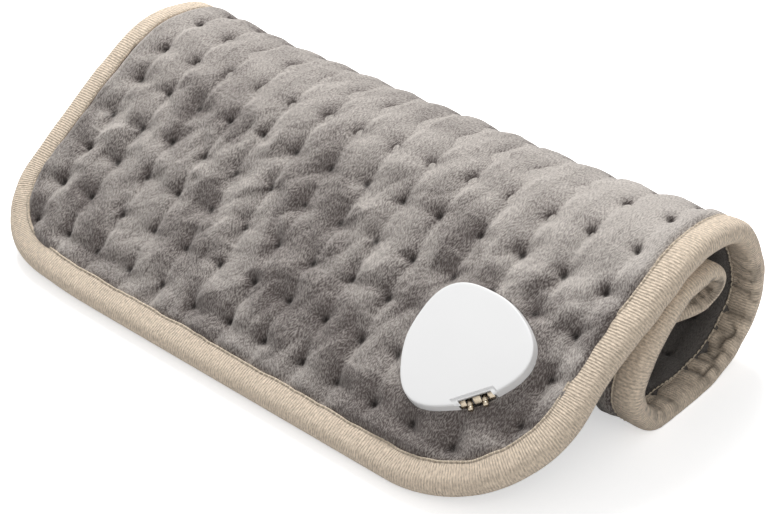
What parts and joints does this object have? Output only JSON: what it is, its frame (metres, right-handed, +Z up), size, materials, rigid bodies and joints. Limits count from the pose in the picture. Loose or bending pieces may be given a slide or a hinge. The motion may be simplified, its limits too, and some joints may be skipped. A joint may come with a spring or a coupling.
{
  "type": "heating pad",
  "caption": "Quilted plush heating pad, loosely rolled up, with taped edges and a plug-in socket on its outer cover.",
  "frame": {"origin": "under the middle of the rolled pad, on the surface that it lies on", "axes": "+X along the roll's axis, +Y from the loose flap to the roll's back, +Z up"},
  "size_m": [0.3, 0.1556, 0.0689],
  "materials": {
    "plush": "short plush",
    "plush_back": "short plush",
    "binding_tape": "ribbed tape",
    "carrier_cloth": "non-woven",
    "wadding": "non-woven",
    "wire_insulation": "smooth",
    "white_plastic": "satin",
    "dark_plastic": "matte",
    "circuit_board": "matte",
    "lead_insulation": "smooth",
    "contact_metal": "nickel plated",
    "plated_steel": "plated"
  },
  "bodies": {
    "roll": {"front_cover_roll": "plush", "back_cover_roll": "plush_back", "edge_binding_roll": "binding_tape", "heater_carrier_roll": "carrier_cloth", "back_wadding_roll": "wadding", "heating_wire_roll": "wire_insulation", "wire_end_crimp": "plated_steel"},
    "flap": {"front_cover_flap": "plush", "back_cover_flap": "plush_back", "edge_binding_flap": "binding_tape", "heater_carrier_flap": "carrier_cloth", "back_wadding_flap": "wadding", "heating_wire_flap": "wire_insulation", "socket_cap": "white_plastic", "socket_base": "white_plastic", "clamp_plate": "dark_plastic", "contact_block": "dark_plastic", "terminal_board": "circuit_board", "thermal_fuse": "plated_steel", "contact_pin_left": "contact_metal", "contact_tab_left": "contact_metal", "lead_left": "lead_insulation", "contact_pin_right": "contact_metal", "contact_tab_right": "contact_metal", "lead_right": "lead_insulation", "contact_tab_middle": "contact_metal", "cap_screw_1": "plated_steel", "cap_screw_2": "plated_steel", "cap_screw_3": "plated_steel", "clamp_screw_1": "plated_steel", "clamp_screw_2": "plated_steel"}
  },
  "joints": [
    {"name": "flap_lift", "type": "hinge", "parent": "roll", "child": "flap", "pos_m": [0, 0.04032, 0.06892], "axis": [-1, 0, 0], "range_deg": [0, 60]}
  ]
}
